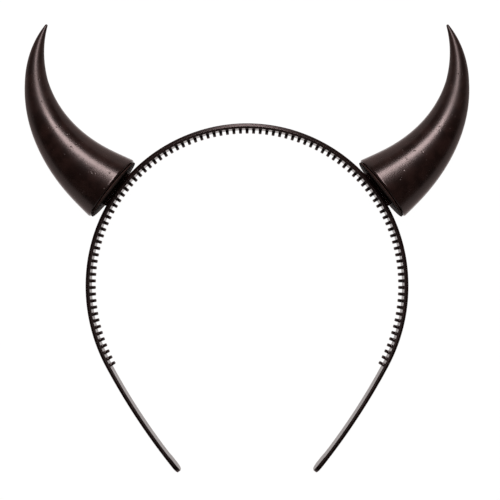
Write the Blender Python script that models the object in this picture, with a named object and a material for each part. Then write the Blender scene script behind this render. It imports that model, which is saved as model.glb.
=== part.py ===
"""Devil horns headband: a moulded comb headband that carries two hollow horns.

The arch is drawn in a frame of its own: X across the head, Y from the band's ends to
its crown, Z across the width of the band. The frame's origin is the centre of the
crown arc. The whole headband then lies on its side, as it rests on a table: it touches
at the two band ends and at the widest ring of each horn, which tilts the arch a little.
"""
import math

import bmesh
import bpy
from mathutils import Matrix, Vector

# Band outline, along the highest line of its slightly domed outer face, crown to end
CROWN_RADIUS = 0.06487
CROWN_TURN = math.radians(84.7)
SIDE_RADIUS = 0.06891
SIDE_TURN = math.radians(33.5)
LEG_RADIUS = 0.2663
LEG_TURN = math.radians(11.1)

# Band section: flat inside, low side walls, sloping shoulders, slightly domed outside
BAND_WIDTH = 0.0095
WALL_SHARE = 0.415
SHOULDER_SLOPE = 0.495
EDGE_DROP = 0.00015
EDGE_WIDTH = 0.00025
DOME_RISE = 0.00015
# Thickness of the band by distance from the crown
THICKNESS = ((0.0, 0.00212), (0.060, 0.00200), (0.095, 0.00184), (0.122, 0.00183))
# Side of the section, counted from its first corner, that carries the teeth
INNER_SIDE = 1

# Band ends: a thicker bead with rounded corners
END_CORNER = 0.0032
END_CORNER_STEPS = 5
END_FACE_THICKNESS = 0.6
BEAD_LENGTH = 0.0082
BEAD_RAMP = 0.0025
BEAD_RISE = 0.00015
LEG_STEP = 0.006

# Comb teeth on the inside, one in the middle of the crown
TEETH_PER_SIDE = 49
TOOTH_PITCH = 0.002787
TOOTH_ROOT = 0.00128
TOOTH_ROOT_WIDTH = 0.0050
TOOTH_TIP_DEPTH = 0.00388
# Rings of a tooth: share of its height, thickness along the band, width across the band
TOOTH_RINGS = (
    (0.75, 0.00118, 0.0034),
    (1.00, 0.00066, 0.0018),
)

# Horn: a straight-sided taper on a curved centre line, open at the rim
SEAT_ANGLE = math.radians(38.3)
RIM_DISTANCE = 0.0667
RIM_SHIFT = 0.0033
HORN_LENGTH = 0.0782
HORN_LEAN = math.radians(31.3)
HORN_TURN = math.radians(50.0)
HORN_HOOK = math.radians(35.7)
HORN_BASE_RADIUS = 0.01445
HORN_TIP_RADIUS = 0.00055
HORN_SWELL = 0.0002
HORN_SWELL_START = 0.7
HORN_WALL = 0.0015
HORN_SQUARE_PART = 0.12
HORN_SIDES = 28
HORN_STEPS = 17
HOLLOW_STEPS = 9
HOLLOW_END_RADIUS = 0.0011
RIM_ROUND = 0.0009
RIM_ROUND_STEPS = 3
TIP_ROUND_STEPS = 3
CENTRE_LINE_STEPS = 600

# Base plate of a horn, with its spigot and the saddle block that sits on the band
GAP = 0.0003
PLATE_DISTANCE = 0.06595
PLATE_THICKNESS = RIM_DISTANCE - GAP - PLATE_DISTANCE
PLATE_RADIUS = 0.0138
PLATE_CHAMFER = 0.00012
SPIGOT_RADIUS = 0.0123
SPIGOT_HEIGHT = 0.0015
SADDLE_START = -0.0054
SADDLE_END = 0.0103
SADDLE_HALF_WIDTH = 0.0040
SADDLE_STEPS_ALONG = 8
SADDLE_STEPS_ACROSS = 6
SADDLE_OVERLAP = 0.0002

SHARP_EDGE = math.radians(35.0)

# Dark brown, nearly black moulded plastic: colour and roughness
PLASTIC = {
    "headband": ((0.012, 0.009, 0.008, 1.0), 0.36),
    "horn": ((0.018, 0.013, 0.012, 1.0), 0.42),
    "horn_base": ((0.010, 0.008, 0.007, 1.0), 0.45),
}


def clear_scene():
    """Remove whatever the open scene holds."""
    for item in list(bpy.data.objects):
        bpy.data.objects.remove(item, do_unlink=True)


def smooth_step(value):
    """Ease from 0 to 1 with level ends."""
    value = min(max(value, 0.0), 1.0)
    return value * value * (3.0 - 2.0 * value)


def band_length():
    """Length of one half of the band, along its outer line."""
    return CROWN_RADIUS * CROWN_TURN + SIDE_RADIUS * SIDE_TURN + LEG_RADIUS * LEG_TURN


def band_frame(distance):
    """Point on the outer line, outward direction and direction towards the right end."""
    arcs = ((CROWN_RADIUS, CROWN_TURN), (SIDE_RADIUS, SIDE_TURN), (LEG_RADIUS, LEG_TURN))
    centre = Vector((0.0, 0.0, 0.0))
    turned = 0.0
    remaining = abs(distance)
    for index, (radius, turn) in enumerate(arcs):
        if remaining <= radius * turn or index == len(arcs) - 1:
            turned += remaining / radius
            break
        remaining -= radius * turn
        turned += turn
        outward = Vector((math.sin(turned), math.cos(turned), 0.0))
        centre += outward * (radius - arcs[index + 1][0])
    outward = Vector((math.sin(turned), math.cos(turned), 0.0))
    point = centre + outward * radius
    along = Vector((outward.y, -outward.x, 0.0))
    if distance < 0.0:
        point.x = -point.x
        outward.x = -outward.x
        along.y = -along.y
    return point, outward, along


def band_thickness(distance):
    """Thickness of the band without its end bead."""
    for (start, first), (end, second) in zip(THICKNESS, THICKNESS[1:]):
        if abs(distance) < end:
            return first + (second - first) * smooth_step((abs(distance) - start) / (end - start))
    return THICKNESS[-1][1]


def band_section(distance):
    """Section of the band: distance below the outer line and place across the width."""
    from_end = band_length() - abs(distance)
    thickness = band_thickness(distance)
    bead = BEAD_RISE * smooth_step((BEAD_LENGTH - from_end) / BEAD_RAMP)
    half_width = 0.5 * BAND_WIDTH
    slimming = 1.0
    if from_end < END_CORNER:
        corner = math.asin(min(1.0, (END_CORNER - from_end) / END_CORNER))
        half_width -= END_CORNER * (1.0 - math.cos(corner))
        slimming = END_FACE_THICKNESS + (1.0 - END_FACE_THICKNESS) * math.sqrt(math.cos(corner))
    tooth = 0.5 * TOOTH_ROOT_WIDTH * min(1.0, 2.0 * half_width / BAND_WIDTH)
    inside = thickness + bead
    wall_top = thickness * (1.0 - WALL_SHARE)
    shoulder_top = DOME_RISE + EDGE_DROP
    shoulder = half_width - SHOULDER_SLOPE * (wall_top - shoulder_top)
    edge = shoulder - EDGE_WIDTH
    section = [(inside, -half_width), (inside, -tooth), (inside, tooth), (inside, half_width)]
    section += [(wall_top, half_width), (shoulder_top, shoulder), (DOME_RISE, edge)]
    section += [(0.0, 0.0)]
    section += [(DOME_RISE, -edge), (shoulder_top, -shoulder), (wall_top, -half_width)]
    middle = 0.5 * inside
    return [(middle + (down - middle) * slimming, across) for down, across in section]


def tooth_stations():
    """Distances from the crown of both edges of each tooth root, left to right."""
    stations = []
    for index in range(-TEETH_PER_SIDE, TEETH_PER_SIDE + 1):
        stations.append(index * TOOTH_PITCH - 0.5 * TOOTH_ROOT)
        stations.append(index * TOOTH_PITCH + 0.5 * TOOTH_ROOT)
    return stations


def leg_stations():
    """Distances from the crown of the sections between the last tooth and the end."""
    last = TEETH_PER_SIDE * TOOTH_PITCH + 0.5 * TOOTH_ROOT
    plain = band_length() - BEAD_LENGTH
    steps = round((plain - last) / LEG_STEP)
    stations = [last + (plain - last) * (step + 1) / steps for step in range(steps)]
    stations.append(plain + 0.5 * BEAD_RAMP)
    stations.append(plain + BEAD_RAMP)
    for step in range(END_CORNER_STEPS + 1):
        corner = 0.5 * math.pi * step / END_CORNER_STEPS
        stations.append(band_length() - END_CORNER * (1.0 - math.sin(corner)))
    return stations


def make_headband():
    """Band and comb teeth as one moulding."""
    mesh = bmesh.new()
    teeth = tooth_stations()
    leg = leg_stations()
    loops = []
    for distance in [-value for value in reversed(leg)] + teeth + leg:
        point, outward, _ = band_frame(distance)
        loop = []
        for down, across in band_section(distance):
            loop.append(mesh.verts.new(point - outward * down + Vector((0.0, 0.0, across))))
        loops.append(loop)
    for place, (first, second) in enumerate(zip(loops, loops[1:])):
        root = place - len(leg)
        is_root = 0 <= root < len(teeth) and root % 2 == 0
        for side in range(len(first)):
            after = (side + 1) % len(first)
            ring = [first[side], first[after], second[after], second[side]]
            if is_root and side == INNER_SIDE:
                add_tooth(mesh, ring, 0.5 * (teeth[root] + teeth[root + 1]))
            else:
                mesh.faces.new(ring)
    mesh.faces.new(loops[0])
    mesh.faces.new(loops[-1])
    return mesh


def add_tooth(mesh, root, distance):
    """One tapered tooth on the four corners that its root shares with the band."""
    point, outward, along = band_frame(distance)
    inside = band_section(distance)[0][0]
    corners = ((-0.5, -0.5), (-0.5, 0.5), (0.5, 0.5), (0.5, -0.5))
    ring = root
    for share, thickness, width in TOOTH_RINGS:
        centre = point - outward * (inside + (TOOTH_TIP_DEPTH - inside) * share)
        new_ring = []
        for part_along, part_across in corners:
            across = Vector((0.0, 0.0, width * part_across))
            new_ring.append(mesh.verts.new(centre + along * (thickness * part_along) + across))
        for corner in range(4):
            after = (corner + 1) % 4
            mesh.faces.new([ring[corner], ring[after], new_ring[after], new_ring[corner]])
        ring = new_ring
    mesh.faces.new(ring)


def seat_point(distance, shift):
    """Point at a distance from the arch centre along a horn's seat, shifted down the band."""
    across = Vector((math.sin(SEAT_ANGLE), -math.cos(SEAT_ANGLE), 0.0))
    return seat_axis() * distance + across * shift


def seat_axis():
    """Direction that the right horn's base plate faces, away from the head."""
    return Vector((math.cos(SEAT_ANGLE), math.sin(SEAT_ANGLE), 0.0))


def horn_heading(part):
    """Direction of the right horn's centre line, part 0 at the rim and 1 at the tip."""
    return HORN_LEAN + HORN_TURN * part + HORN_HOOK * part * part


def horn_centre_line():
    """Points along the right horn's centre line, from the rim to the tip."""
    step = HORN_LENGTH / CENTRE_LINE_STEPS
    point = seat_point(RIM_DISTANCE, RIM_SHIFT)
    points = [point.copy()]
    for index in range(CENTRE_LINE_STEPS):
        heading = horn_heading((index + 0.5) / CENTRE_LINE_STEPS)
        point += Vector((math.cos(heading), math.sin(heading), 0.0)) * step
        points.append(point.copy())
    return points


def horn_radius(part):
    """Outer radius of the horn before its rim is rounded, with a slight swell by the tip."""
    late = max(0.0, (part - HORN_SWELL_START) / (1.0 - HORN_SWELL_START))
    taper = HORN_BASE_RADIUS + (HORN_TIP_RADIUS - HORN_BASE_RADIUS) * part
    return taper + 4.0 * HORN_SWELL * late * (1.0 - late)


def horn_rings():
    """Part along the horn and radius of each ring: hollow end, rim, outside, tip."""
    hollow_end = (HORN_BASE_RADIUS - HORN_WALL - HOLLOW_END_RADIUS) / (
        HORN_BASE_RADIUS - HORN_TIP_RADIUS)
    rings = []
    for step in range(HOLLOW_STEPS, -1, -1):
        part = hollow_end * step / HOLLOW_STEPS
        rings.append((part, horn_radius(part) - HORN_WALL))
    for step in range(RIM_ROUND_STEPS + 1):
        angle = 0.5 * math.pi * step / RIM_ROUND_STEPS
        part = RIM_ROUND * (1.0 - math.cos(angle)) / HORN_LENGTH
        rings.append((part, horn_radius(part) - RIM_ROUND * (1.0 - math.sin(angle))))
    first = RIM_ROUND / HORN_LENGTH
    for step in range(1, HORN_STEPS + 1):
        part = first + (1.0 - first) * step / HORN_STEPS
        rings.append((part, horn_radius(part)))
    return rings


def add_ring(mesh, centre, heading, radius):
    """One ring of a horn, square to its heading, with a corner straight down in Z."""
    side = Vector((-math.sin(heading), math.cos(heading), 0.0))
    up = Vector((0.0, 0.0, 1.0))
    ring = []
    for corner in range(HORN_SIDES):
        angle = 2.0 * math.pi * corner / HORN_SIDES
        ring.append(mesh.verts.new(centre + (side * math.cos(angle) + up * math.sin(angle)) * radius))
    return ring


def join_rings(mesh, rings, start, end):
    """Skin a row of rings and close both ends on a middle point."""
    for first, second in zip(rings, rings[1:]):
        for corner in range(len(first)):
            after = (corner + 1) % len(first)
            mesh.faces.new([first[corner], first[after], second[after], second[corner]])
    for ring, pole in ((rings[0], start), (rings[-1], end)):
        middle = mesh.verts.new(pole)
        for corner in range(len(ring)):
            after = (corner + 1) % len(ring)
            mesh.faces.new([ring[corner], ring[after], middle])


def make_horn():
    """Right horn: a hollow shell with a rounded rim and a small round tip."""
    mesh = bmesh.new()
    points = horn_centre_line()
    rings = []
    for part, radius in horn_rings():
        centre = points[min(CENTRE_LINE_STEPS, round(part * CENTRE_LINE_STEPS))]
        square = 1.0 - min(1.0, part / HORN_SQUARE_PART)
        heading = horn_heading(part)
        heading += (SEAT_ANGLE - heading) * square
        rings.append(add_ring(mesh, centre, heading, radius))
    heading = horn_heading(1.0)
    forward = Vector((math.cos(heading), math.sin(heading), 0.0))
    for step in range(1, TIP_ROUND_STEPS):
        angle = 0.5 * math.pi * step / TIP_ROUND_STEPS
        centre = points[-1] + forward * (HORN_TIP_RADIUS * math.sin(angle))
        rings.append(add_ring(mesh, centre, heading, HORN_TIP_RADIUS * math.cos(angle)))
    hollow_part = horn_rings()[0][0]
    hollow_end = points[round(hollow_part * CENTRE_LINE_STEPS)]
    hollow_heading = horn_heading(hollow_part)
    start = hollow_end + Vector((math.cos(hollow_heading), math.sin(hollow_heading), 0.0)) * (
        0.5 * HOLLOW_END_RADIUS)
    join_rings(mesh, rings, start, points[-1] + forward * HORN_TIP_RADIUS)
    return mesh


def make_base_plate():
    """Turned plate of the right horn: rim flange below, spigot above."""
    mesh = bmesh.new()
    top = PLATE_DISTANCE + PLATE_THICKNESS
    profile = (
        (PLATE_DISTANCE, PLATE_RADIUS - PLATE_CHAMFER),
        (PLATE_DISTANCE + PLATE_CHAMFER, PLATE_RADIUS),
        (top - PLATE_CHAMFER, PLATE_RADIUS),
        (top, PLATE_RADIUS - PLATE_CHAMFER),
        (top, SPIGOT_RADIUS),
        (top + SPIGOT_HEIGHT - PLATE_CHAMFER, SPIGOT_RADIUS),
        (top + SPIGOT_HEIGHT, SPIGOT_RADIUS - PLATE_CHAMFER),
    )
    rings = []
    for distance, radius in profile:
        rings.append(add_ring(mesh, seat_point(distance, RIM_SHIFT), SEAT_ANGLE, radius))
    start = seat_point(profile[0][0], RIM_SHIFT)
    end = seat_point(profile[-1][0], RIM_SHIFT)
    join_rings(mesh, rings, start, end)
    return mesh


def make_saddle():
    """Block under the right base plate, hollowed below to follow the band's outside."""
    mesh = bmesh.new()
    up = Vector((0.0, 0.0, 1.0))
    top = []
    bottom = []
    for step_along in range(SADDLE_STEPS_ALONG + 1):
        shift = SADDLE_START + (SADDLE_END - SADDLE_START) * step_along / SADDLE_STEPS_ALONG
        top_row = []
        bottom_row = []
        for step_across in range(SADDLE_STEPS_ACROSS + 1):
            across = SADDLE_HALF_WIDTH * (2.0 * step_across / SADDLE_STEPS_ACROSS - 1.0)
            reach = CROWN_RADIUS + GAP - DOME_RISE * abs(across) / SADDLE_HALF_WIDTH
            distance = math.sqrt(reach * reach - shift * shift)
            bottom_row.append(mesh.verts.new(seat_point(distance, shift) + up * across))
            high = PLATE_DISTANCE + SADDLE_OVERLAP
            top_row.append(mesh.verts.new(seat_point(high, shift) + up * across))
        top.append(top_row)
        bottom.append(bottom_row)
    for grid in (top, bottom):
        for first, second in zip(grid, grid[1:]):
            for cell in range(SADDLE_STEPS_ACROSS):
                mesh.faces.new([first[cell], first[cell + 1], second[cell + 1], second[cell]])
    for row in (0, -1):
        for cell in range(SADDLE_STEPS_ACROSS):
            mesh.faces.new([top[row][cell], top[row][cell + 1],
                            bottom[row][cell + 1], bottom[row][cell]])
    for column in (0, -1):
        for row in range(SADDLE_STEPS_ALONG):
            mesh.faces.new([top[row][column], top[row + 1][column],
                            bottom[row + 1][column], bottom[row][column]])
    return mesh


def mirrored(mesh):
    """Copy of a right-hand mesh for the left side of the arch."""
    copy = mesh.copy()
    bmesh.ops.transform(copy, matrix=Matrix.Scale(-1.0, 4, (1.0, 0.0, 0.0)), verts=copy.verts)
    return copy


def plastic(name):
    """Moulded plastic of one kind of piece."""
    material = bpy.data.materials.get(name + "_plastic")
    if material is None:
        colour, roughness = PLASTIC[name]
        material = bpy.data.materials.new(name + "_plastic")
        material.use_nodes = True
        shader = material.node_tree.nodes["Principled BSDF"]
        shader.inputs["Base Color"].default_value = colour
        shader.inputs["Roughness"].default_value = roughness
        shader.inputs["Metallic"].default_value = 0.0
    return material


def add_object(name, mesh, material, parent):
    """Turn a bmesh into a named object under the arch."""
    bmesh.ops.recalc_face_normals(mesh, faces=mesh.faces)
    data = bpy.data.meshes.new(name)
    mesh.to_mesh(data)
    mesh.free()
    data.shade_smooth()
    data.set_sharp_from_angle(angle=SHARP_EDGE)
    item = bpy.data.objects.new(name, data)
    bpy.context.scene.collection.objects.link(item)
    data.materials.append(plastic(material))
    item.parent = parent
    return item


def fuse(base, name, mesh, material, parent):
    """Join a second closed shape to an object as one body."""
    cutter = add_object(name, mesh, material, parent)
    cutter.hide_render = True
    cutter.display_type = "WIRE"
    union = base.modifiers.new("Saddle", "BOOLEAN")
    union.operation = "UNION"
    union.solver = "EXACT"
    union.object = cutter


def rest_tilt():
    """Tilt of the arch when it lies on its band ends and on both horns' widest rings."""
    widest = RIM_ROUND / HORN_LENGTH
    horn_y = horn_centre_line()[round(widest * CENTRE_LINE_STEPS)].y
    end_y = band_frame(band_length() - END_CORNER)[0].y
    rise = horn_radius(widest) - 0.5 * BAND_WIDTH
    return math.atan(rise / (horn_y - end_y))


def lay_down(arch):
    """Tilt the arch to its rest, on the table and centred over the origin."""
    turn = Matrix.Rotation(rest_tilt(), 4, "X")
    corners = [turn @ vertex.co for item in arch.children for vertex in item.data.vertices]
    depths = [corner.y for corner in corners]
    arch.rotation_euler = turn.to_euler()
    arch.location.y = -0.5 * (min(depths) + max(depths))
    arch.location.z = -min(corner.z for corner in corners)


def main():
    """Build the headband, both horns and both base plates, lying on the table."""
    clear_scene()
    arch = bpy.data.objects.new("arch", None)
    bpy.context.scene.collection.objects.link(arch)
    add_object("headband", make_headband(), "headband", arch)
    for side in ("right", "left"):
        horn = make_horn()
        plate = make_base_plate()
        saddle = make_saddle()
        if side == "left":
            horn = mirrored(horn)
            plate = mirrored(plate)
            saddle = mirrored(saddle)
        add_object("horn_" + side, horn, "horn", arch)
        base = add_object("horn_base_" + side, plate, "horn_base", arch)
        fuse(base, "saddle_block_" + side, saddle, "horn_base", arch)
    lay_down(arch)


main()
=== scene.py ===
"""Devil horns headband: a comb headband with two hollow horns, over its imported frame.

The pieces are drawn in the arch's own frame: X across the head, Y from the band's ends
to its crown, Z across the width of the band, with the origin at the centre of the crown
arc. LIE then lays them on the table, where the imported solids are. The right-hand piece
of a pair is drawn, and the left-hand one is its mirror image.
"""
import math

import bmesh
import bpy
from bpy.props import FloatProperty, FloatVectorProperty, IntProperty, PointerProperty
from bpy.types import Operator, Panel, PropertyGroup
from mathutils import Matrix, Vector


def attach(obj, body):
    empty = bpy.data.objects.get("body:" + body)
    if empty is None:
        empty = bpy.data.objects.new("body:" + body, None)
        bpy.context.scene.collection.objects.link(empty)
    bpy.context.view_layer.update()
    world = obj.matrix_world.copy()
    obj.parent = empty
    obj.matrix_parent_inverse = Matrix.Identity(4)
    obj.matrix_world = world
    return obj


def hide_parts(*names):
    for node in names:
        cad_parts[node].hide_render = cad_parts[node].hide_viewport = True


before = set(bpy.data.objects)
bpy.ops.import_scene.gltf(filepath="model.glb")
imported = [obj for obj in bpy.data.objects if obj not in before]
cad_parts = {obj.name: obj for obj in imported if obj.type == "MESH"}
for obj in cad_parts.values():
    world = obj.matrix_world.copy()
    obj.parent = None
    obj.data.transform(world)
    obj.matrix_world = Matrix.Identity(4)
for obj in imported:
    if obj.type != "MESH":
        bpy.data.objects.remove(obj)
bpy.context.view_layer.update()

bl_info = {
    "name": "Devil Horns Headband",
    "version": (1, 0, 0),
    "blender": (4, 5, 0),
    "location": "View3D > Sidebar > Headband",
    "description": "Moulded comb headband with two curved horns on round base plates",
    "category": "Add Mesh",
}

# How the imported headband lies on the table: tilt about X, then shift back and up
LIE = Matrix.Translation((0.0, -0.0147144, 0.0109245)) @ Matrix.Rotation(
    math.radians(4.846895), 4, "X")

SIDES = ("right", "left")

# Places across the slightly domed outer face of the band, from edge to edge
DOME_PARTS = (0.75, 0.5, 0.25, 0.0, -0.25, -0.5, -0.75)
# Share of the dome's height that is left at the flat crown
CROWN_DOME_SHARE = 0.15
# Distances from the crown at which the band has its four named thicknesses
THICKNESS_PLACES = (0.0, 0.060, 0.095, 0.122)
# Length over which an end bead rises, and share of the thickness left at the end face
BEAD_RAMP = 0.0025
END_FACE_THICKNESS = 0.6
# Shares of the inner edges' easing: easing of the wall tops and of the outer face's
# edges, and how far past an eased corner the flats are held flat
WALL_TOP_EASING = 0.3
OUTER_FACE_EASING = 0.8
HOLD_SHARE = 0.1

# Sections along one half of the band
SECTIONS_PER_TOOTH = 4
LEG_SECTIONS = 16
RAMP_SECTIONS = 6
BEAD_SECTIONS = 3
CORNER_SECTIONS = 14

# Tooth: share of the height where the tip rounds off, levels below it, turns above it
TIP_START = 0.88
TOOTH_LEVELS = (-0.06, 0.0, 0.05, 0.11, 0.2, 0.35, 0.55, TIP_START)
TIP_TURNS = (22.0, 44.0, 64.0, 82.0)
# Root fillet: how fast it fades with height, and what it adds at the root
FILLET_HEIGHT_SHARE = 0.07
FILLET_THICKNESS = 0.00035
FILLET_WIDTH = 0.0006
# Tip: share of the thickness left at the very end, and width lost there
TIP_THICKNESS_SHARE = 0.12
TIP_WIDTH_LOSS = 0.0007
# Rounding of a tooth's four corners as a share of its thickness
TOOTH_CORNER_SHARE = 0.42

# Horn: sides of a ring, steps of its parts, radius where the hollow ends
RING_SIDES = 96
LINE_STEPS = 2000
HOLLOW_STEPS = 36
RIM_STEPS = 10
OUTSIDE_STEPS = 140
TIP_STEPS = 8
HOLLOW_END_RADIUS = 0.0011

# Saddle block: cells along and across the band, and how far it runs into the plate
SADDLE_ROWS = 24
SADDLE_COLUMNS = 16
SADDLE_OVERLAP = 0.0002
SADDLE_SHARP = math.radians(50.0)

# Edges that turn by more than this are shaded sharp
SHARP_EDGE = math.radians(48.0)

# Plastic: patches, grains, spots and pits over one metre, and what counts as a spot or a pit
GRAIN_SCALE = 2300.0
MOTTLE_SCALE = 210.0
DRIFT_SCALE = 45.0
SPOT_SCALE = 330.0
PIT_SCALE = 620.0
SPOT_LEVELS = (0.56, 0.64)
PIT_LEVELS = (0.05, 0.30)
MOTTLE_LEVELS = (0.35, 0.65)
# Roughness that the mottle, the drift and the pits add, and what is taken off to balance them
GLOSS_OFFSET = 0.05
GLOSS_MOTTLE = 0.06
GLOSS_DRIFT = 0.05
GLOSS_PITS = 0.15
# Distances from the arch centre between which the horns grow duller
DULLING_REACH = (0.100, 0.114)
PLASTIC_IOR = 1.42
# Grain of the band and the bases, and pits of the band, as shares of the horns'
FINE_GRAIN_SHARE = 0.4
BAND_PIT_SHARE = 0.2
# How far the mottle takes the colour up and down, as shares of the colour
BAND_MOTTLE = 0.25
HORN_MOTTLE = 0.3
BASE_MOTTLE = 0.2

# Surroundings, as cosines of the angle from straight down: where the table turns from
# far to near, and where the room turns into the table
TABLE_LEVELS = (0.78, 0.96)
HORIZON_LEVELS = (-0.02, 0.04)
KEY_AIM = (0.0, 0.02, 0.0)
KEY_TINT = (1.0, 0.78, 0.765)
SENSOR_WIDTH = 36.0
CLIP_START = 0.01
WHITE = (1.0, 1.0, 1.0, 1.0)
FLOOR_SIDES = 96
FLOOR_TONE = (0.02, 0.02, 0.02, 1.0)
FLOOR_ROUGHNESS = 0.9


def length(name, description, default):
    """A size in metres that a user can change."""
    return FloatProperty(name=name, description=description, default=default, min=0.0,
                         precision=5, step=0.01, subtype="DISTANCE", unit="LENGTH")


def offset(name, description, default):
    """A place along a line, which may be on either side of its zero."""
    return FloatProperty(name=name, description=description, default=default,
                         precision=5, step=0.01, subtype="DISTANCE", unit="LENGTH")


def angle(name, description, degrees):
    """An angle that a user can change, with its default in degrees."""
    return FloatProperty(name=name, description=description,
                         default=math.radians(degrees), subtype="ANGLE", unit="ROTATION")


def share(name, description, default):
    """A share or strength from 0 to 1."""
    return FloatProperty(name=name, description=description, default=default, min=0.0,
                         max=1.0, precision=3, subtype="FACTOR")


def colour(name, description, default):
    """A colour that a user can change, with its alpha."""
    return FloatVectorProperty(name=name, description=description, default=default,
                               min=0.0, max=2.0, size=len(default), subtype="COLOR")


class BandSizes(PropertyGroup):
    """Sizes of the band and its comb teeth."""
    crown_radius: length("Crown radius", "Radius of the outer line at the crown", 0.06487)
    crown_turn: angle("Crown turn", "Turn of the crown arc, to each side", 84.7)
    side_radius: length("Side radius", "Radius of the outer line at the sides", 0.06891)
    side_turn: angle("Side turn", "Turn of each side arc", 33.5)
    leg_radius: length("Leg radius", "Radius of the outer line at the legs", 0.2663)
    leg_turn: angle("Leg turn", "Turn of each leg arc", 11.1)
    width: length("Width", "Width of the band", 0.0095)
    wall_share: share("Wall share", "Share of the thickness that is side wall", 0.415)
    wall_draft: length("Wall draft", "Inward lean of the side walls over their height", 0.00013)
    shoulder_slope: share("Shoulder slope", "Inward run of the shoulders by depth", 0.495)
    edge_drop: length("Edge drop", "Depth of the outer face's rounded edges", 0.00015)
    edge_width: length("Edge width", "Width of the outer face's rounded edges", 0.00025)
    dome_rise: length("Dome rise", "Height of the outer face's middle", 0.00015)
    flat_length: length("Flat length", "Where the flat crown starts to turn domed", 0.055)
    dome_ramp: length("Dome ramp", "Length over which the dome rises", 0.035)
    crown_thickness: length("Crown thickness", "Thickness at the crown", 0.00212)
    shoulder_thickness: length("Shoulder thickness", "Thickness above the sides", 0.00200)
    side_thickness: length("Side thickness", "Thickness at the widest part", 0.00184)
    leg_thickness: length("Leg thickness", "Thickness of the legs", 0.00183)
    edge_round: length("Edge rounding", "How far each long edge is eased", 0.00014)
    bead_length: length("Bead length", "Length of the thicker bead at each end", 0.0082)
    bead_rise: length("Bead rise", "Extra thickness of the end beads", 0.00015)
    end_corner: length("End corner", "Corner radius of each end, seen from inside", 0.0032)
    teeth_per_side: IntProperty(name="Teeth per side", default=49, min=1, max=120,
                                description="Comb teeth on each side of the middle one")
    tooth_pitch: length("Tooth pitch", "Distance between teeth on the outer line", 0.002785)
    tooth_root: length("Tooth root", "Thickness of a tooth at its root", 0.00128)
    tooth_shoulder: length("Tooth shoulder", "Thickness where the tip rounds off", 0.00122)
    tooth_depth: length("Tooth depth", "Depth of the tooth tips below the outer line", 0.00388)
    tooth_width: length("Tooth width", "Width of a tooth at its root", 0.0050)
    tooth_narrowing: length("Tooth narrowing", "Loss of width from root to tip", 0.0036)


class HornSizes(PropertyGroup):
    """Sizes of a horn shell."""
    seat_angle: angle("Seat angle", "Rise of the seat's axis from the X axis", 38.3)
    rim_distance: length("Rim distance", "Height of the rim over the arch centre", 0.0667)
    rim_shift: offset("Rim shift", "Shift of the rim's middle down the band", 0.0033)
    curve_length: length("Curve length", "Length along the centre line", 0.0782)
    lean: angle("Lean", "Heading of the centre line at the rim", 31.3)
    turn: angle("Turn", "Even turn of the centre line up to the tip", 50.0)
    hook: angle("Hook", "Turn that grows towards the tip", 35.7)
    base_radius: length("Base radius", "Outer radius at the rim", 0.01440)
    tip_radius: length("Tip radius", "Radius of the rounded tip", 0.00055)
    swell: length("Swell", "Extra radius near the tip", 0.0002)
    swell_start: share("Swell start", "Share of the horn where the swell starts", 0.7)
    wall: length("Wall", "Thickness of the shell", 0.0015)
    rim_round: length("Rim rounding", "Radius of the rim's outer edge", 0.0009)
    square_part: share("Square part", "Share of the horn that turns off the seat", 0.12)


class BaseSizes(PropertyGroup):
    """Sizes of the plate and saddle block under a horn."""
    gap: length("Gap", "Clearance between pieces", 0.0003)
    plate_distance: length("Plate distance", "Underside over the arch centre", 0.06595)
    plate_thickness: length("Plate thickness", "Thickness of the rim flange", 0.00045)
    plate_radius: length("Plate radius", "Radius of the rim flange", 0.0138)
    spigot_radius: length("Spigot radius", "Radius of the boss in the horn", 0.0123)
    spigot_height: length("Spigot height", "Height of the boss", 0.0015)
    saddle_start: offset("Saddle start", "Upper end of the block along the band", -0.0054)
    saddle_end: offset("Saddle end", "Lower end of the block along the band", 0.0103)
    saddle_half_width: length("Saddle half width", "Half the block's width", 0.0040)
    edge_round: length("Edge rounding", "How far the sharp edges are eased", 0.00012)


class PlasticLooks(PropertyGroup):
    """Colours and surface of the moulded plastic."""
    band_colour: colour("Band colour", "Colour of the band", (0.0060, 0.0030, 0.0025))
    horn_colour: colour("Horn colour", "Colour of the horns", (0.0100, 0.0052, 0.0042))
    base_colour: colour("Base colour", "Colour of the base plates", (0.0260, 0.0165, 0.0140))
    band_roughness: share("Band roughness", "Roughness of the band", 0.26)
    horn_roughness: share("Horn roughness", "Roughness of the horns", 0.25)
    base_roughness: share("Base roughness", "Roughness of the base plates", 0.65)
    base_sheen: share("Base sheen", "Specular level of the base plates", 0.04)
    tip_dulling: share("Tip dulling", "Roughness added towards the horn tips", 0.15)
    grain_depth: length("Grain depth", "Depth of the fine moulded grain", 0.000012)
    pit_depth: length("Pit depth", "Depth of the scattered pits", 0.00006)


class StageLooks(PropertyGroup):
    """Floor, surroundings, strip light and camera."""
    floor_radius: length("Floor radius", "Radius of the round floor", 2.5)
    floor_glow: FloatProperty(name="Floor glow", description="Light that the floor gives",
                              default=1.0, min=0.0)
    room: colour("Room", "Colour of the dark room", (0.03, 0.029, 0.0285, 1.0))
    table_near: colour("Table near", "Table straight below", (1.08, 1.0, 0.985, 1.0))
    table_far: colour("Table far", "Table off to the sides", (0.60, 0.46, 0.44, 1.0))
    key_power: FloatProperty(name="Key power", description="Power of the strip light",
                             default=11.5, min=0.0, subtype="POWER", unit="POWER")
    key_distance: length("Key distance", "Distance of the strip light", 0.9)
    key_tilt: angle("Key tilt", "Turn of the strip light from overhead to the crown", 36.0)
    key_length: length("Key length", "Length of the strip light", 0.74)
    key_width: length("Key width", "Width of the strip light", 0.22)
    camera_height: length("Camera height", "Camera over the arch's middle plane", 0.570)
    camera_rise: offset("Camera rise", "Camera towards the crown", 0.01332)
    aim_across: offset("Aim across", "Aim point across the head", 0.00119)
    aim_rise: offset("Aim rise", "Aim point towards the crown", 0.01402)
    view_width: length("View width", "Width of the picture at the arch", 0.20187)


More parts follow.
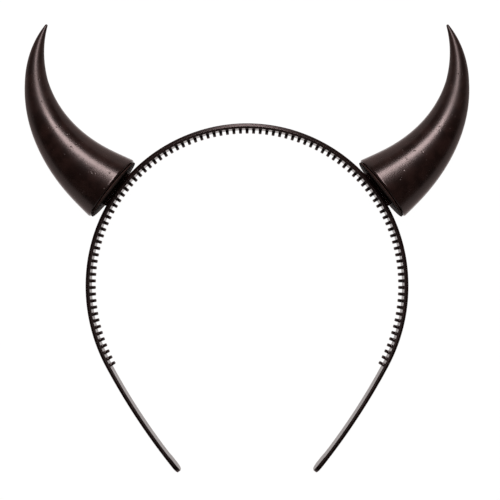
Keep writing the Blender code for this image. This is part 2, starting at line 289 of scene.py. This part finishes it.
class HeadbandSettings(PropertyGroup):
    """All sizes and looks of the headband."""
    band: PointerProperty(type=BandSizes)
    horn: PointerProperty(type=HornSizes)
    base: PointerProperty(type=BaseSizes)
    plastic: PointerProperty(type=PlasticLooks)
    stage: PointerProperty(type=StageLooks)


class Shade:
    """A shader socket that takes part in Python expressions."""

    def __init__(self, finish, socket):
        self.finish = finish
        self.socket = socket

    def maths(self, operation, *values):
        """Add one Math node on the values."""
        return self.finish.node("Math", {"operation": operation}, dict(enumerate(values)))

    def __add__(self, other):
        return self.maths("ADD", self, other)

    def __radd__(self, other):
        return self.maths("ADD", other, self)

    def __sub__(self, other):
        return self.maths("SUBTRACT", self, other)

    def __rsub__(self, other):
        return self.maths("SUBTRACT", other, self)

    def __mul__(self, other):
        return self.maths("MULTIPLY", self, other)

    def __rmul__(self, other):
        return self.maths("MULTIPLY", other, self)

    def between(self, low, high):
        """0 up to low, 1 from high, with an eased rise between them."""
        return self.finish.node("MapRange", {"interpolation_type": "SMOOTHSTEP"},
                                {"Value": self, "From Min": low, "From Max": high})


class Finish:
    """The shader nodes of a material or of the world."""

    def __init__(self, owner):
        self.owner = owner
        owner.use_nodes = True
        self.tree = owner.node_tree
        self.tree.nodes.clear()

    def node(self, kind, settings=None, sockets=None, output=0):
        """Add a node: its settings first, then the values or links of its sockets."""
        made = self.tree.nodes.new("ShaderNode" + kind)
        for name, value in (settings or {}).items():
            setattr(made, name, value)
        for name, value in (sockets or {}).items():
            if isinstance(value, Shade):
                self.tree.links.new(value.socket, made.inputs[name])
            else:
                made.inputs[name].default_value = value
        return Shade(self, made.outputs[output]) if made.outputs else None

    def noise(self, place, scale, detail=2.0, roughness=0.5):
        """Soft noise with features of about one over scale, in metres."""
        return self.node("TexNoise", {"noise_dimensions": "3D"},
                         {"Vector": place, "Scale": scale, "Detail": detail,
                          "Roughness": roughness})

    def cells(self, place, scale, randomness=1.0):
        """Distance from the nearest of many scattered points, in cells."""
        return self.node("TexVoronoi", {"feature": "F1"},
                         {"Vector": place, "Scale": scale, "Randomness": randomness})

    def blend(self, factor, first, second):
        """Colour between two colours."""
        return self.node("Mix", {"data_type": "RGBA"}, {0: factor, 6: first, 7: second}, 2)

    def glow(self, tone):
        """Even light of one colour, for the world."""
        return self.node("Background", None, {"Color": tone})

    def layers(self, factor, first, second):
        """Shader between two shaders."""
        return self.node("MixShader", None, {0: factor, 1: first, 2: second})

    def end(self, **sockets):
        """Finish with a Principled shader and return the material."""
        named = {name.replace("_", " "): value for name, value in sockets.items()}
        shader = self.node("BsdfPrincipled", None, named)
        self.node("OutputMaterial", None, {"Surface": shader})
        return self.owner


def moulded_plastic(name, tone, roughness, grain, pits, mottle, dulling=0.0, sheen=0.5):
    """Satin moulded plastic with a fine grain, scattered pits and uneven gloss.

    Dulling is added to the roughness far from the arch centre.
    """
    finish = Finish(bpy.data.materials.new(name))
    place = finish.node("TexCoord", None, None, 3)
    fine = finish.noise(place, GRAIN_SCALE, 3.0, 0.6)
    broad = finish.noise(place, MOTTLE_SCALE, 2.0, 0.5)
    drift = finish.noise(place, DRIFT_SCALE, 1.0, 0.5)
    spots = finish.noise(place, SPOT_SCALE, 0.0, 0.5).between(*SPOT_LEVELS)
    holes = (1.0 - finish.cells(place, PIT_SCALE).between(*PIT_LEVELS)) * spots
    height = fine * grain - holes * pits
    bump = finish.node("Bump", None, {"Strength": 1.0, "Distance": 1.0, "Height": height})
    pale = tuple(min(1.0, part * (1.0 + mottle)) for part in tone) + (1.0,)
    deep = tuple(part * (1.0 - mottle) for part in tone) + (1.0,)
    body = finish.blend(broad.between(*MOTTLE_LEVELS), deep, pale)
    centre = LIE @ Vector((0.0, 0.0, 0.0))
    reach = finish.node("VectorMath", {"operation": "DISTANCE"}, {0: place, 1: centre}, 1)
    gloss = roughness - GLOSS_OFFSET + broad * GLOSS_MOTTLE + drift * GLOSS_DRIFT
    gloss = gloss + holes * GLOSS_PITS + reach.between(*DULLING_REACH) * dulling
    return finish.end(Base_Color=body, Roughness=gloss, IOR=PLASTIC_IOR, Specular_IOR_Level=sheen,
                      Normal=bump)


def eased(points, cuts, steps=3, hold=0.0):
    """Closed outline with some corners eased: cuts gives how far, by corner number.

    A hold adds a point to both sides of an eased corner, which keeps the flats flat.
    """
    outline = []
    count = len(points)
    for number, corner in enumerate(points):
        cut = cuts.get(number, 0.0)
        if cut <= 0.0:
            outline.append(corner)
            continue
        before = points[number - 1]
        after = points[(number + 1) % count]
        start = corner + (before - corner).normalized() * cut
        end = corner + (after - corner).normalized() * cut
        if hold > 0.0:
            outline.append(corner + (before - corner).normalized() * (cut + hold))
        for step in range(steps + 1):
            part = step / steps
            outline.append(start * (1.0 - part) ** 2 + corner * (2.0 * part * (1.0 - part))
                           + end * part ** 2)
        if hold > 0.0:
            outline.append(corner + (after - corner).normalized() * (cut + hold))
    return outline


def smooth_step(value):
    """Ease from 0 to 1 with level ends."""
    value = min(max(value, 0.0), 1.0)
    return value * value * (3.0 - 2.0 * value)


def skin(mesh, rings):
    """Join a row of equal rings with faces."""
    for first, second in zip(rings, rings[1:]):
        for corner in range(len(first)):
            after = (corner + 1) % len(first)
            mesh.faces.new([first[corner], first[after], second[after], second[corner]])


def cap(mesh, ring, place):
    """Close a ring on a middle point."""
    middle = mesh.verts.new(place)
    for corner in range(len(ring)):
        mesh.faces.new([ring[corner], ring[(corner + 1) % len(ring)], middle])


def band_length(band):
    """Length of one half of the band, along its outer line."""
    return (band.crown_radius * band.crown_turn + band.side_radius * band.side_turn
            + band.leg_radius * band.leg_turn)


def band_frame(band, distance):
    """Point on the outer line, outward direction and direction towards the right end."""
    arcs = ((band.crown_radius, band.crown_turn), (band.side_radius, band.side_turn),
            (band.leg_radius, band.leg_turn))
    centre = Vector((0.0, 0.0, 0.0))
    turned = 0.0
    remaining = abs(distance)
    for index, (radius, turn) in enumerate(arcs):
        if remaining <= radius * turn or index == len(arcs) - 1:
            turned += remaining / radius
            break
        remaining -= radius * turn
        turned += turn
        outward = Vector((math.sin(turned), math.cos(turned), 0.0))
        centre += outward * (radius - arcs[index + 1][0])
    outward = Vector((math.sin(turned), math.cos(turned), 0.0))
    point = centre + outward * radius
    along = Vector((outward.y, -outward.x, 0.0))
    if distance < 0.0:
        point.x = -point.x
        outward.x = -outward.x
        along.y = -along.y
    return point, outward, along


def band_inside(band, distance):
    """Thickness of the band, and what an end bead adds to it on the inside."""
    from_end = band_length(band) - abs(distance)
    levels = tuple(zip(THICKNESS_PLACES, (band.crown_thickness, band.shoulder_thickness,
                                          band.side_thickness, band.leg_thickness)))
    thickness = band.leg_thickness
    for (start, first), (end, second) in zip(levels, levels[1:]):
        if start <= abs(distance) < end:
            part = smooth_step((abs(distance) - start) / (end - start))
            thickness = first + (second - first) * part
    return thickness, band.bead_rise * smooth_step((band.bead_length - from_end) / BEAD_RAMP)


def band_section(band, distance):
    """Outline of the band: depth below the outer line and place across the width."""
    thickness, bead = band_inside(band, distance)
    half = 0.5 * band.width
    slimming = 1.0
    from_end = band_length(band) - abs(distance)
    if from_end < band.end_corner:
        corner = math.asin(min(1.0, (band.end_corner - from_end) / band.end_corner))
        half -= band.end_corner * (1.0 - math.cos(corner))
        slimming = END_FACE_THICKNESS + (1.0 - END_FACE_THICKNESS) * math.sqrt(
            max(0.0, math.cos(corner)))
    inside = thickness + bead
    doming = smooth_step((abs(distance) - band.flat_length) / band.dome_ramp)
    dome_rise = band.dome_rise * (CROWN_DOME_SHARE + (1.0 - CROWN_DOME_SHARE) * doming)
    wall_top = thickness * (1.0 - band.wall_share)
    shoulder_top = dome_rise + band.edge_drop
    shoulder = half - band.shoulder_slope * (wall_top - shoulder_top)
    edge = shoulder - band.edge_width
    side = [Vector((inside, half - band.wall_draft)), Vector((wall_top, half)),
            Vector((shoulder_top, shoulder)), Vector((dome_rise, edge))]
    dome = [Vector((dome_rise * part * part, edge * part)) for part in DOME_PARTS]
    other = [Vector((down, -across)) for down, across in reversed(side)]
    easing = band.edge_round * min(1.0, 2.0 * half / band.width)
    tight = OUTER_FACE_EASING * easing
    cuts = {0: easing, 1: WALL_TOP_EASING * easing, 2: tight, 3: tight}
    count = len(side) + len(dome) + len(other)
    cuts.update({count - 1 - number: cut for number, cut in cuts.items()})
    outline = eased(side + dome + other, cuts, hold=HOLD_SHARE * easing)
    middle = 0.5 * inside
    return [(middle + (down - middle) * slimming, across) for down, across in outline]


def band_stations(band):
    """Distances from the crown of all sections, from the left end to the right end."""
    last = (band.teeth_per_side + 0.5) * band.tooth_pitch
    full = band_length(band)
    comb = SECTIONS_PER_TOOTH * band.teeth_per_side + SECTIONS_PER_TOOTH // 2
    right = [last * step / comb for step in range(comb + 1)]
    plain = full - band.bead_length
    right += [last + (plain - last) * step / LEG_SECTIONS for step in range(1, LEG_SECTIONS + 1)]
    right += [plain + BEAD_RAMP * step / RAMP_SECTIONS for step in range(1, RAMP_SECTIONS + 1)]
    rounding = full - band.end_corner
    right += [right[-1] + (rounding - right[-1]) * step / BEAD_SECTIONS
              for step in range(1, BEAD_SECTIONS + 1)]
    for step in range(1, CORNER_SECTIONS + 1):
        turn = 0.5 * math.pi * step / CORNER_SECTIONS
        right.append(rounding + band.end_corner * math.sin(turn))
    return [-value for value in reversed(right[1:])] + right


def add_tooth(mesh, band, distance):
    """One tapered tooth with a small fillet at its root and a rounded tip.

    It points at the centre of the arch.
    """
    point = band_frame(band, distance)[0]
    outward = point.normalized()
    along = Vector((outward.y, -outward.x, 0.0))
    inside = band_inside(band, distance)[0]
    height = band.tooth_depth - inside
    levels = list(TOOTH_LEVELS)
    levels += [TIP_START + (1.0 - TIP_START) * math.sin(math.radians(turn))
               for turn in TIP_TURNS]
    rings = []
    for part in levels:
        level = max(part, 0.0)
        taper = min(level / TIP_START, 1.0)
        thickness = band.tooth_root + (band.tooth_shoulder - band.tooth_root) * taper
        fillet = math.exp(-level / FILLET_HEIGHT_SHARE)
        thickness += FILLET_THICKNESS * fillet
        width = band.tooth_width - band.tooth_narrowing * level ** 3
        width += FILLET_WIDTH * fillet
        if part > TIP_START:
            round_off = (part - TIP_START) / (1.0 - TIP_START)
            fall = math.sqrt(max(0.0, 1.0 - round_off * round_off))
            thickness *= TIP_THICKNESS_SHARE + (1.0 - TIP_THICKNESS_SHARE) * fall
            width -= TIP_WIDTH_LOSS * (1.0 - fall)
        centre = point - outward * (inside + height * part)
        rings.append(tooth_ring(mesh, centre, along, thickness, width))
    skin(mesh, rings)
    cap(mesh, rings[-1], point - outward * band.tooth_depth)


def tooth_ring(mesh, centre, along, thickness, width):
    """Rounded oblong across the band."""
    cut = TOOTH_CORNER_SHARE * thickness
    box = [Vector((-0.5 * thickness, -0.5 * width)), Vector((0.5 * thickness, -0.5 * width)),
           Vector((0.5 * thickness, 0.5 * width)), Vector((-0.5 * thickness, 0.5 * width))]
    return [mesh.verts.new(centre + along * spot.x + Vector((0.0, 0.0, spot.y)))
            for spot in eased(box, {0: cut, 1: cut, 2: cut, 3: cut})]


def make_band(band):
    """Band with its end beads and comb teeth."""
    mesh = bmesh.new()
    rings = []
    for distance in band_stations(band):
        point, outward, _ = band_frame(band, distance)
        rings.append([mesh.verts.new(point - outward * down + Vector((0.0, 0.0, across)))
                      for down, across in band_section(band, distance)])
    skin(mesh, rings)
    for ring in (rings[0], rings[-1]):
        cap(mesh, ring, sum((spot.co for spot in ring), Vector()) / len(ring))
    for number in range(-band.teeth_per_side, band.teeth_per_side + 1):
        add_tooth(mesh, band, number * band.tooth_pitch)
    return mesh


def seat_axis(horn):
    """Direction that the right horn's base plate faces, away from the head."""
    return Vector((math.cos(horn.seat_angle), math.sin(horn.seat_angle), 0.0))


def seat_point(horn, distance, shift):
    """Point over the arch centre along a horn's seat, shifted down the band."""
    axis = seat_axis(horn)
    return axis * distance + Vector((axis.y, -axis.x, 0.0)) * shift


def horn_heading(horn, part):
    """Direction of the right horn's centre line, part 0 at the rim and 1 at the tip."""
    return horn.lean + horn.turn * part + horn.hook * part * part


def horn_line(horn, steps=LINE_STEPS):
    """Points along the right horn's centre line, from the rim to the tip."""
    point = seat_point(horn, horn.rim_distance, horn.rim_shift)
    points = [point.copy()]
    for index in range(steps):
        heading = horn_heading(horn, (index + 0.5) / steps)
        point += Vector((math.cos(heading), math.sin(heading), 0.0)) * (horn.curve_length / steps)
        points.append(point.copy())
    return points


def horn_radius(horn, part):
    """Outer radius of the horn before its rim is rounded, with a slight swell by the tip."""
    late = max(0.0, (part - horn.swell_start) / (1.0 - horn.swell_start))
    taper = horn.base_radius + (horn.tip_radius - horn.base_radius) * part
    return taper + 4.0 * horn.swell * late * (1.0 - late)


def turned_ring(mesh, centre, heading, radius, sides=RING_SIDES):
    """One ring square to a heading."""
    side = Vector((-math.sin(heading), math.cos(heading), 0.0))
    up = Vector((0.0, 0.0, 1.0))
    ring = []
    for corner in range(sides):
        turn = 2.0 * math.pi * corner / sides
        ring.append(mesh.verts.new(
            centre + (side * math.cos(turn) + up * math.sin(turn)) * radius))
    return ring


def horn_rings(horn):
    """Part along the horn and radius of each ring: hollow end, rim, outside up to the tip."""
    hollow_end = (horn.base_radius - horn.wall - HOLLOW_END_RADIUS) / (
        horn.base_radius - horn.tip_radius)
    rings = []
    for step in range(HOLLOW_STEPS, -1, -1):
        part = hollow_end * step / HOLLOW_STEPS
        rings.append((part, horn_radius(horn, part) - horn.wall))
    for step in range(RIM_STEPS + 1):
        turn = 0.5 * math.pi * step / RIM_STEPS
        part = horn.rim_round * (1.0 - math.cos(turn)) / horn.curve_length
        rings.append((part, horn_radius(horn, part) - horn.rim_round * (1.0 - math.sin(turn))))
    first = horn.rim_round / horn.curve_length
    for step in range(1, OUTSIDE_STEPS + 1):
        part = first + (1.0 - first) * step / OUTSIDE_STEPS
        rings.append((part, horn_radius(horn, part)))
    return rings


def make_horn(horn):
    """Right horn: a hollow shell with a rounded rim and a small round tip."""
    mesh = bmesh.new()
    points = horn_line(horn)
    last = len(points) - 1
    rings = []
    for part, radius in horn_rings(horn):
        square = 1.0 - min(1.0, part / horn.square_part)
        heading = horn_heading(horn, part)
        heading += (horn.seat_angle - heading) * square
        rings.append(turned_ring(mesh, points[min(last, round(part * last))], heading, radius))
    heading = horn_heading(horn, 1.0)
    forward = Vector((math.cos(heading), math.sin(heading), 0.0))
    for step in range(1, TIP_STEPS):
        turn = 0.5 * math.pi * step / TIP_STEPS
        rings.append(turned_ring(mesh, points[-1] + forward * (horn.tip_radius * math.sin(turn)),
                                 heading, horn.tip_radius * math.cos(turn)))
    skin(mesh, rings)
    cap(mesh, rings[0], sum((spot.co for spot in rings[0]), Vector()) / len(rings[0]))
    cap(mesh, rings[-1], points[-1] + forward * horn.tip_radius)
    return mesh


def make_plate(horn, base):
    """Turned plate of the right horn: rim flange below, spigot above."""
    mesh = bmesh.new()
    top = base.plate_distance + base.plate_thickness
    high = top + base.spigot_height
    profile = eased([
        Vector((base.plate_distance, 0.0)),
        Vector((base.plate_distance, base.plate_radius)),
        Vector((top, base.plate_radius)),
        Vector((top, base.spigot_radius)),
        Vector((high, base.spigot_radius)),
        Vector((high, 0.0)),
    ], {1: base.edge_round, 2: base.edge_round, 3: base.edge_round, 4: base.edge_round})
    rings = []
    for distance, radius in profile[1:-1]:
        centre = seat_point(horn, distance, horn.rim_shift)
        rings.append(turned_ring(mesh, centre, horn.seat_angle, radius))
    skin(mesh, rings)
    cap(mesh, rings[0], seat_point(horn, profile[0].x, horn.rim_shift))
    cap(mesh, rings[-1], seat_point(horn, high, horn.rim_shift))
    return mesh


def make_saddle(band, horn, base):
    """Block under the right base plate, hollowed below to follow the band's outside."""
    mesh = bmesh.new()
    rows = SADDLE_ROWS
    columns = SADDLE_COLUMNS
    layers = {"top": [], "bottom": []}
    for row in range(rows + 1):
        shift = base.saddle_start + (base.saddle_end - base.saddle_start) * row / rows
        for layer in layers.values():
            layer.append([])
        for column in range(columns + 1):
            across = base.saddle_half_width * (2.0 * column / columns - 1.0)
            up = Vector((0.0, 0.0, across))
            reach = band.crown_radius + base.gap
            reach -= band.dome_rise * abs(across) / base.saddle_half_width
            low = math.sqrt(reach * reach - shift * shift)
            layers["bottom"][-1].append(mesh.verts.new(seat_point(horn, low, shift) + up))
            high = base.plate_distance + SADDLE_OVERLAP
            layers["top"][-1].append(mesh.verts.new(seat_point(horn, high, shift) + up))
    for grid in layers.values():
        for first, second in zip(grid, grid[1:]):
            for cell in range(columns):
                mesh.faces.new([first[cell], first[cell + 1], second[cell + 1], second[cell]])
    top, bottom = layers["top"], layers["bottom"]
    for row in (0, -1):
        for cell in range(columns):
            mesh.faces.new([top[row][cell], top[row][cell + 1],
                            bottom[row][cell + 1], bottom[row][cell]])
    for column in (0, -1):
        for row in range(rows):
            mesh.faces.new([top[row][column], top[row + 1][column],
                            bottom[row + 1][column], bottom[row][column]])
    bmesh.ops.recalc_face_normals(mesh, faces=mesh.faces)
    sharp = [edge for edge in mesh.edges if edge.calc_face_angle(0.0) > SADDLE_SHARP]
    bmesh.ops.bevel(mesh, geom=sharp, offset=base.edge_round, segments=2, profile=0.5,
                    affect="EDGES", clamp_overlap=True)
    return mesh


def join(mesh, other):
    """Add a second bmesh to the first."""
    carrier = bpy.data.meshes.new("carrier")
    other.to_mesh(carrier)
    other.free()
    mesh.from_mesh(carrier)
    bpy.data.meshes.remove(carrier)
    return mesh


def add_piece(name, mesh, material, node, side="right"):
    """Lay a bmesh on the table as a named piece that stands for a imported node."""
    if side == "left":
        bmesh.ops.transform(mesh, matrix=Matrix.Scale(-1.0, 4, (1.0, 0.0, 0.0)),
                            verts=mesh.verts)
    bmesh.ops.transform(mesh, matrix=LIE, verts=mesh.verts)
    bmesh.ops.recalc_face_normals(mesh, faces=mesh.faces)
    data = bpy.data.meshes.new(name)
    mesh.to_mesh(data)
    mesh.free()
    data.shade_smooth()
    data.set_sharp_from_angle(angle=SHARP_EDGE)
    data.materials.append(material)
    piece = bpy.data.objects.new(name, data)
    bpy.context.scene.collection.objects.link(piece)
    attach(piece, "root")
    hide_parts(node)
    return piece


class HEADBAND_OT_add_band(Operator):
    """Add the comb band"""
    bl_idname = "headband.add_band"
    bl_label = "Comb Band"

    def execute(self, context):
        settings = context.scene.headband
        look = settings.plastic
        material = moulded_plastic("band_plastic", look.band_colour, look.band_roughness,
                                   FINE_GRAIN_SHARE * look.grain_depth,
                                   BAND_PIT_SHARE * look.pit_depth, BAND_MOTTLE)
        add_piece("comb_band", make_band(settings.band), material, "headband")
        return {"FINISHED"}


class HEADBAND_OT_add_horns(Operator):
    """Add both horn shells"""
    bl_idname = "headband.add_horns"
    bl_label = "Horns"

    def execute(self, context):
        settings = context.scene.headband
        look = settings.plastic
        material = moulded_plastic("horn_plastic", look.horn_colour, look.horn_roughness,
                                   look.grain_depth, look.pit_depth, HORN_MOTTLE,
                                   look.tip_dulling)
        for side in SIDES:
            add_piece("horn_shell_" + side, make_horn(settings.horn), material,
                      "horn_" + side, side)
        return {"FINISHED"}


class HEADBAND_OT_add_bases(Operator):
    """Add the base plates with their saddle blocks"""
    bl_idname = "headband.add_bases"
    bl_label = "Base Plates"

    def execute(self, context):
        settings = context.scene.headband
        look = settings.plastic
        material = moulded_plastic("base_plastic", look.base_colour, look.base_roughness,
                                   FINE_GRAIN_SHARE * look.grain_depth, 0.0, BASE_MOTTLE,
                                   sheen=look.base_sheen)
        for side in SIDES:
            plate = make_plate(settings.horn, settings.base)
            saddle = make_saddle(settings.band, settings.horn, settings.base)
            add_piece("base_plate_" + side, join(plate, saddle), material,
                      "horn_base_" + side, side)
        return {"FINISHED"}


def add_floor(look):
    """Round floor that glows enough to show no shadow, and that no reflection shows."""
    mesh = bmesh.new()
    bmesh.ops.create_circle(mesh, cap_ends=True, segments=FLOOR_SIDES,
                            radius=look.floor_radius)
    data = bpy.data.meshes.new("floor")
    mesh.to_mesh(data)
    mesh.free()
    floor = bpy.data.objects.new("floor", data)
    bpy.context.scene.collection.objects.link(floor)
    finish = Finish(bpy.data.materials.new("pale_floor"))
    data.materials.append(finish.end(
        Base_Color=FLOOR_TONE, Roughness=FLOOR_ROUGHNESS, Specular_IOR_Level=0.0,
        Emission_Color=WHITE, Emission_Strength=look.floor_glow))
    floor.visible_glossy = False


def add_light(name, place, aim, length_along, width, power, tint):
    """Oblong soft light in the arch's frame, with its long side away from X."""
    data = bpy.data.lights.new(name, "AREA")
    data.shape = "RECTANGLE"
    data.size = width
    data.size_y = length_along
    data.energy = power
    data.color = tint
    light = bpy.data.objects.new(name, data)
    bpy.context.scene.collection.objects.link(light)
    place = LIE @ Vector(place)
    light.location = place
    light.rotation_euler = (LIE @ Vector(aim) - place).to_track_quat("-Z", "Y").to_euler()
    light.visible_camera = False
    return light


def add_world(look):
    """White to the camera; to the object a dark room over a pale, warm table."""
    world = bpy.data.worlds.new("surroundings")
    surroundings = Finish(world)
    heading = surroundings.node("TexCoord")
    down = surroundings.node("VectorMath", {"operation": "DOT_PRODUCT"},
                             {0: heading, 1: LIE.to_3x3() @ Vector((0.0, 0.0, -1.0))}, 1)
    table = surroundings.layers(down.between(*TABLE_LEVELS), surroundings.glow(look.table_far),
                                surroundings.glow(look.table_near))
    room = surroundings.layers(down.between(*HORIZON_LEVELS), surroundings.glow(look.room), table)
    seen = surroundings.layers(surroundings.node("LightPath"), room,
                               surroundings.glow(WHITE))
    surroundings.node("OutputWorld", None, {"Surface": seen})
    bpy.context.scene.world = world


def add_camera(look):
    """Camera over the arch, square to its plane."""
    data = bpy.data.cameras.new("camera")
    data.sensor_width = SENSOR_WIDTH
    data.lens = data.sensor_width * look.camera_height / look.view_width
    data.clip_start = CLIP_START
    camera = bpy.data.objects.new("camera", data)
    bpy.context.scene.collection.objects.link(camera)
    place = LIE @ Vector((0.0, look.camera_rise, look.camera_height))
    aim = LIE @ Vector((look.aim_across, look.aim_rise, 0.0))
    back = (place - aim).normalized()
    up = LIE.to_3x3() @ Vector((0.0, 1.0, 0.0))
    across = up.cross(back).normalized()
    turn = Matrix((across, back.cross(across), back)).transposed()
    camera.matrix_world = Matrix.Translation(place) @ turn.to_4x4()
    bpy.context.scene.camera = camera


class HEADBAND_OT_add_stage(Operator):
    """Add the floor, the surroundings, the strip light and the camera"""
    bl_idname = "headband.add_stage"
    bl_label = "Stage"

    def execute(self, context):
        look = context.scene.headband.stage
        context.scene.view_settings.view_transform = "Standard"
        add_floor(look)
        add_world(look)
        tilt = look.key_tilt
        place = (0.0, look.key_distance * math.sin(tilt), look.key_distance * math.cos(tilt))
        add_light("key_strip", place, KEY_AIM, look.key_length, look.key_width,
                  look.key_power, KEY_TINT)
        add_camera(look)
        return {"FINISHED"}


class HEADBAND_PT_sidebar(Panel):
    """Buttons that add the pieces of the headband and its stage"""
    bl_idname = "HEADBAND_PT_sidebar"
    bl_label = "Devil Horns Headband"
    bl_space_type = "VIEW_3D"
    bl_region_type = "UI"
    bl_category = "Headband"

    def draw(self, context):
        for operator in OPERATORS:
            self.layout.operator(operator.bl_idname)


GROUPS = (BandSizes, HornSizes, BaseSizes, PlasticLooks, StageLooks, HeadbandSettings)
OPERATORS = (HEADBAND_OT_add_band, HEADBAND_OT_add_horns, HEADBAND_OT_add_bases,
             HEADBAND_OT_add_stage)


def register():
    """Make the sizes, operators and panel known to Blender."""
    for item in GROUPS + OPERATORS + (HEADBAND_PT_sidebar,):
        bpy.utils.register_class(item)
    bpy.types.Scene.headband = PointerProperty(type=HeadbandSettings)


def unregister():
    """Take the sizes, operators and panel away again."""
    del bpy.types.Scene.headband
    for item in reversed(GROUPS + OPERATORS + (HEADBAND_PT_sidebar,)):
        bpy.utils.unregister_class(item)


def main():
    """Build every piece and the stage."""
    register()
    bpy.ops.headband.add_band()
    bpy.ops.headband.add_horns()
    bpy.ops.headband.add_bases()
    bpy.ops.headband.add_stage()


if __name__ == "__main__":
    main()
